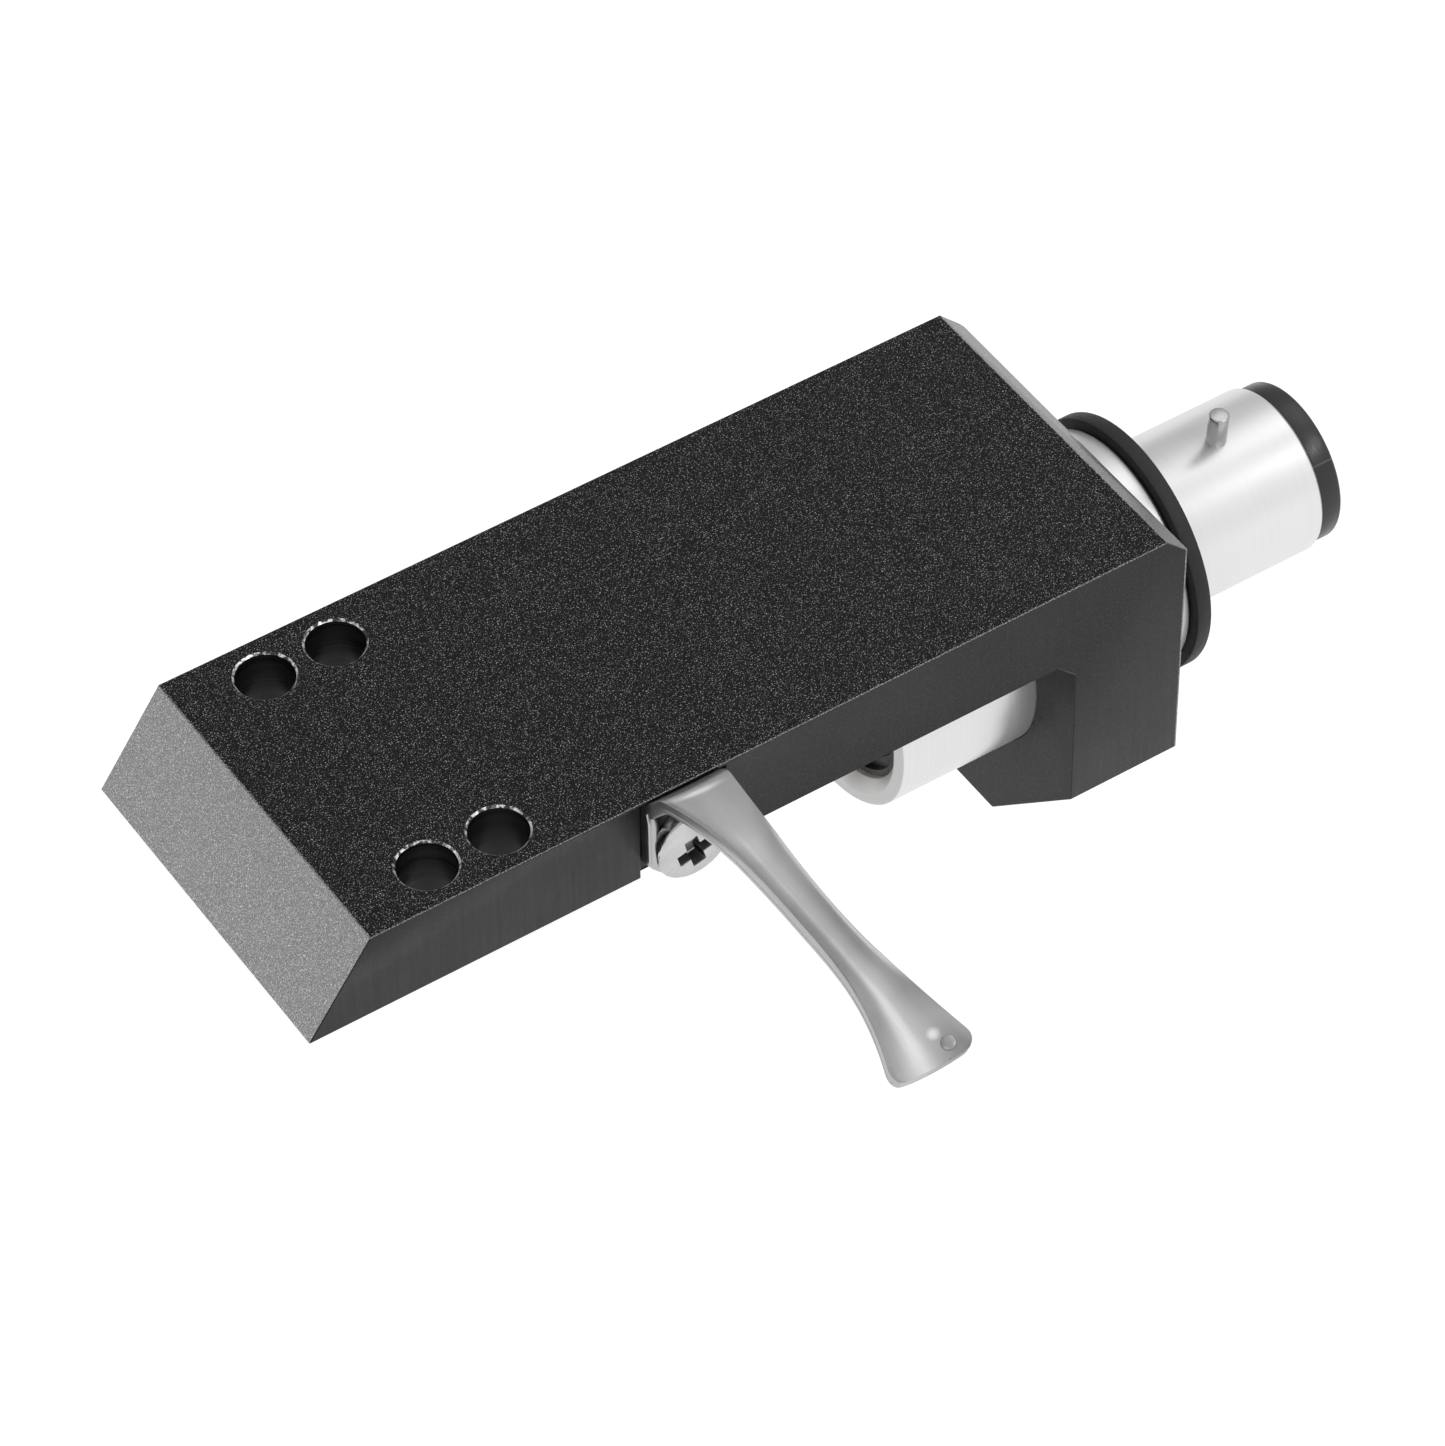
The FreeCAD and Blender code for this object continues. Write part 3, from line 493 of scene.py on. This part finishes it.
# the path of the lift's sheet, from its foot up through two bends and out to the drooping tip
lift = dict(middle=29.05, seat=8.0, thick=0.55, footLow=4.75, footHeight=3.693, bendRadius=0.5, rise=45.0,
            riseLength=1.19, crestRadius=0.9, ease=12.0, easeRadius=18.0, flat=8.16, tipRadius=14.8,
            tipAngle=20.0, foot=3.65, waist=1.68, root=8.4, waistY=18.5, tip=4.26, lean=0.36, footCorner=0.9,
            tipCorner=0.66, dish=0.4, tipDish=0.7, footPower=2.2, tipPower=2.5, dishOnset=1.8, rim=0.25,
            footRim=0.2, bendRim=0.12, rimWidth=0.32, footSlant=0.3, crease=5.72, creaseSlant=0.1, press=0.09)
liftStretches = [
    (None, lift["footHeight"]), (lift["bendRadius"], math.radians(90 - lift["rise"])),
    (None, lift["riseLength"]), (lift["crestRadius"], math.radians(lift["rise"] - lift["ease"])),
    (lift["easeRadius"], math.radians(lift["ease"])), (None, lift["flat"]),
    (lift["tipRadius"], math.radians(lift["tipAngle"])),
]
liftLength = sum(amount if radius is None else radius * amount for radius, amount in liftStretches)


def blend(value, knots):
    for (first, low), (second, high) in zip(knots, knots[1:]):
        if value < second:
            return low + (high - low) * max(value - first, 0) / (second - first)
    return knots[-1][1]


def liftPath(distance):
    y = lift["seat"] + lift["thick"] / 2
    z = lift["footLow"]
    heading = math.pi / 2
    for radius, amount in liftStretches:
        length = amount if radius is None else radius * amount
        part = min(distance, length)
        if radius is None:
            y += part * math.cos(heading)
            z += part * math.sin(heading)
        else:
            turned = heading - part / radius
            y += radius * (math.sin(heading) - math.sin(turned))
            z += radius * (math.cos(turned) - math.cos(heading))
            heading = turned
        distance -= part
    return y, z, heading


# half width, curl, rim, how much it is foot, and the place of the sheet's middle at one distance along it
def liftForm(distance):
    y, z, heading = liftPath(distance)
    tipY = liftPath(liftLength)[0]
    if y < lift["waistY"]:
        part = min((lift["waistY"] - y) / (lift["waistY"] - lift["root"]), 1)
        width = lift["waist"] + (lift["foot"] - lift["waist"]) * part ** lift["footPower"]
        dish = lift["dish"] * min((1 - part) * lift["dishOnset"], 1)
    else:
        part = (y - lift["waistY"]) / (tipY - lift["waistY"])
        width = lift["waist"] + (lift["tip"] - lift["waist"]) * part ** lift["tipPower"]
        dish = lift["dish"] + (lift["tipDish"] - lift["dish"]) * part
    atTip = liftLength - distance < distance
    corner = lift["tipCorner"] if atTip else lift["footCorner"]
    inside = max(corner - min(distance, liftLength - distance), 0)
    half = width / 2 - corner + math.sqrt(max(corner ** 2 - inside ** 2, 0))
    along = min(max((y - lift["root"]) / (tipY - lift["root"]), 0), 1)
    foot = lift["footHeight"]
    footRim = blend(distance, [(0, lift["footRim"]), (foot - 0.7, lift["footRim"]), (foot, lift["bendRim"]),
                               (foot + 0.5, lift["bendRim"]), (foot + 3, 0)])
    rim = max(lift["rim"] * math.sin(math.pi * along), footRim)
    atFoot = blend(distance, [(foot - 0.5, 1), (foot + 0.6, 0)])
    level = Vector((0, -math.sin(heading), math.cos(heading)))
    middle = Vector((lift["middle"] + lift["lean"] * along, y, z))
    return half, dish / (width / 2) ** 2, rim, atFoot, middle, level


# band lists the edge from top to bottom: how far in, and at what share of its height
def liftSection(distance):
    columns = dict(upper=24, lower=12)
    fade = dict(start=0.1, left=0.3, right=1.2, down=0.18, flat=5.0, out=10.0, curlFrom=0.6, curl=0.35)
    band = [(0.035, 0.0), (0.01, 0.02), (0.0, 0.06), (0.0, 0.56), (0.045, 0.60), (0.045, 0.64), (0.005, 0.69),
            (0.005, 0.9), (0.03, 0.97), (0.09, 1.0)]
    half, curl, rim, atFoot, middle, level = liftForm(distance)
    thick = lift["thick"]
    slant = lift["footSlant"] * atFoot
    rimWidth = min(lift["rimWidth"] + slant * 0.6, half * 0.4)
    spots = []
    for column in range(1, columns["upper"]):
        x = (half - band[0][0]) * (2 * column / columns["upper"] - 1)
        start = lift["crease"] - lift["creaseSlant"] * x + fade["curl"] * max(-x / half - fade["curlFrom"], 0)
        pressed = blend(distance - start, [(0, 0), (fade["down"], 1), (fade["flat"], 1), (fade["out"], 0)])
        inner = blend(half - abs(x), [(fade["start"], 0), (fade["left"] if x > 0 else fade["right"], 1)])
        spots.append((x, thick / 2 + curl * x * x - lift["press"] * pressed * inner, 0))
    high = thick / 2 + curl * half * half
    deep = thick + rim
    edge = [(half - inset - slant * share ** 2, high - share * deep, 1) for inset, share in band]
    spots += edge
    inner = half - rimWidth
    for column in range(columns["lower"] + 1):
        x = inner * (1 - 2 * column / columns["lower"])
        spots.append((x, curl * x * x - thick / 2, 0))
    spots += [(-x, height, side) for x, height, side in reversed(edge)]
    return [(middle + Vector((x, 0, 0)) + level * height, side) for x, height, side in spots]


def liftStations():
    start = [lift["footCorner"] * (1 - math.cos(math.radians(turn))) for turn in range(0, 90, 9)]
    end = [liftLength - lift["tipCorner"] * (1 - math.cos(math.radians(turn))) for turn in range(81, -1, -9)]
    first = lift["footCorner"]
    last = liftLength - lift["tipCorner"]
    count = 210
    return start + [first + (last - first) * step / count for step in range(count + 1)] + end


def makeLift():
    shape = bmesh.new()
    rows = [[(shape.verts.new(spot * mm), side) for spot, side in liftSection(distance)]
            for distance in liftStations()]
    count = len(rows[0])
    for first, second in zip(rows, rows[1:]):
        for index in range(count):
            after = (index + 1) % count
            face = shape.faces.new((first[index][0], first[after][0], second[after][0], second[index][0]))
            face.material_index = min(first[index][1], first[after][1])
    for row in (rows[0], rows[-1]):
        face = shape.faces.new([corner for corner, side in row])
        face.material_index = 1
    bmesh.ops.recalc_face_normals(shape, faces=shape.faces)
    ends = [face for face in shape.faces if len(face.verts) > 4]
    breakEdges(shape, lambda edge: any(face in ends for face in edge.link_faces)
               and edge.calc_face_angle(0) > math.radians(60), 0.06, 2)
    smoothAll(shape)
    finishPiece(shape, "fingerLift", "shell", ["finger_lift"], ["lift", "liftEdge"], 38.0)


def makeLiftDimple():
    dimple = dict(distance=22.28, across=-1.08, outline=[(-0.16, 0.0), (-0.16, 0.33), (0.0, 0.33), (0.05, 0.3),
                                                          (0.085, 0.22), (0.10, 0.12), (0.105, 0.0)])
    half, curl, rim, atFoot, middle, level = liftForm(dimple["distance"])
    across = dimple["across"]
    spot = middle + Vector((across, 0, 0)) + level * (lift["thick"] / 2 + curl * across * across)
    outwards = (level - Vector((2 * curl * across, 0, 0))).normalized()
    shape = spinProfile(dimple["outline"], 48)
    placed = Matrix.Translation(spot * mm) @ outwards.to_track_quat("X", "Z").to_matrix().to_4x4()
    bmesh.ops.transform(shape, matrix=placed, verts=shape.verts)
    smoothAll(shape)
    finishPiece(shape, "liftDimple", "shell", [], ["lift"])


makeShell()
for settings in turnedPieces:
    makeTurned(**settings)
dressNode("locating_pin", "locatingPin", "connector", "pin", 0.03)
makeLift()
makeLiftDimple()
dressNode("lift_washer", "liftWasher", "shell", "darkSteelAndRecessShade", 0.04)
makeLiftScrew()
dressNode("clamp_screw", "clampScrew", "shell", "darkSteelAndRecessShade", 0.04)
for channel in ("right_signal", "left_signal", "left_ground", "right_ground"):
    dressNode(f"contact_{channel}", f"contact-{channel}", "connector", "gilt", 0.04)
print("pieces made")


def makeFloor():
    floor = dict(level=-0.032, size=3.0, paint=0.8, glow=0.45)
    shape = bmesh.new()
    bmesh.ops.create_grid(shape, x_segments=1, y_segments=1, size=floor["size"])
    bmesh.ops.translate(shape, verts=shape.verts, vec=(0, 0, floor["level"]))
    mesh = bpy.data.meshes.new("floor")
    shape.to_mesh(mesh)
    shape.free()
    sweep = bpy.data.objects.new("floor", mesh)
    bpy.context.scene.collection.objects.link(sweep)
    material, tree, shader, place = startMaterial("palePaper", Roughness=0.9)
    shader.inputs["Base Color"].default_value = (*grey(floor["paint"]), 1)
    rays = addNode(tree, "ShaderNodeLightPath")
    seen = maths(tree, "MAXIMUM", rays.outputs["Is Camera Ray"], rays.outputs["Is Glossy Ray"])
    seen = maths(tree, "MAXIMUM", seen, rays.outputs["Is Transmission Ray"])
    shader.inputs["Emission Color"].default_value = (1, 1, 1, 1)
    tree.links.new(maths(tree, "MULTIPLY", seen, floor["glow"]), shader.inputs["Emission Strength"])
    mesh.materials.append(material)


def makeWorld():
    sky = dict(level=0.62, low=0.50, high=1.0, up=0.6, side=0.5, climb=(-0.15, 0.4), dim=0.65, dimmed=(0.1, 0.6))
    world = bpy.data.worlds.new("softRoom")
    world.use_nodes = True
    bpy.context.scene.world = world
    tree = world.node_tree
    background = tree.nodes["Background"]
    rays = addNode(tree, "ShaderNodeLightPath")
    direction = addNode(tree, "ShaderNodeTexCoord").outputs["Generated"]
    parts = addNode(tree, "ShaderNodeSeparateXYZ", {0: direction}).outputs
    raised = maths(tree, "MULTIPLY", parts["Z"], sky["up"])
    height = maths(tree, "ADD", raised, maths(tree, "MULTIPLY", parts["Y"], sky["side"]))
    room = remap(tree, height, *sky["climb"], sky["low"], sky["high"])
    room = maths(tree, "MULTIPLY", room, remap(tree, parts["X"], *sky["dimmed"], 1.0, sky["dim"]))
    glossy = maths(tree, "MAXIMUM", rays.outputs["Is Glossy Ray"], rays.outputs["Is Transmission Ray"])
    seen = mixColour(tree, glossy, grey(sky["level"]), room)
    seen = mixColour(tree, rays.outputs["Is Camera Ray"], seen, grey(1.0))
    tree.links.new(seen, background.inputs["Color"])


# an area lamp that faces the object; radiance is how bright its face looks
def makeLamp(name, direction, distance, size, radiance):
    centre = Vector((0.022, 0.002, 0.0))
    lamp = bpy.data.lights.new(name, "AREA")
    lamp.shape = "RECTANGLE"
    lamp.size = size[0]
    lamp.size_y = size[1]
    lamp.energy = radiance * math.pi * size[0] * size[1]
    holder = bpy.data.objects.new(name, lamp)
    bpy.context.scene.collection.objects.link(holder)
    away = Vector(direction).normalized()
    turned = away.to_track_quat("Z", "Y").to_matrix().to_4x4()
    holder.matrix_world = Matrix.Translation(centre + away * distance) @ turned


def makeCamera():
    shot = dict(centre=(128.277, 163.719, 211.316), right=(-0.83253, 0.55390, -0.00892),
                down=(0.41084, 0.60655, -0.68067), look=(-0.37161, -0.57034, -0.73254), focal=166.87)
    lens = bpy.data.cameras.new("view")
    lens.sensor_fit = "HORIZONTAL"
    lens.sensor_width = 36.0
    lens.lens = shot["focal"]
    camera = bpy.data.objects.new("view", lens)
    bpy.context.scene.collection.objects.link(camera)
    turned = Matrix((shot["right"], [-number for number in shot["down"]], [-number for number in shot["look"]]))
    camera.matrix_world = Matrix.Translation(Vector(shot["centre"]) * mm) @ turned.transposed().to_4x4()
    bpy.context.scene.camera = camera


makeFloor()
makeWorld()
makeLamp("keySoftbox", (-0.37, 0.57, 0.73), 0.6, (0.34, 0.15), 3.8)
makeLamp("noseSoftbox", (0.82, -0.57, 0.12), 0.5, (0.30, 0.24), 1.3)
makeLamp("fillSoftbox", (0.9, 0.5, 0.5), 0.7, (0.4, 0.4), 0.8)
makeLamp("troughSoftbox", (-0.5, -0.22, 0.84), 0.5, (0.28, 0.28), 0.75)
makeCamera()
bpy.context.scene.view_settings.view_transform = "Standard"
print("floor, light and camera made")
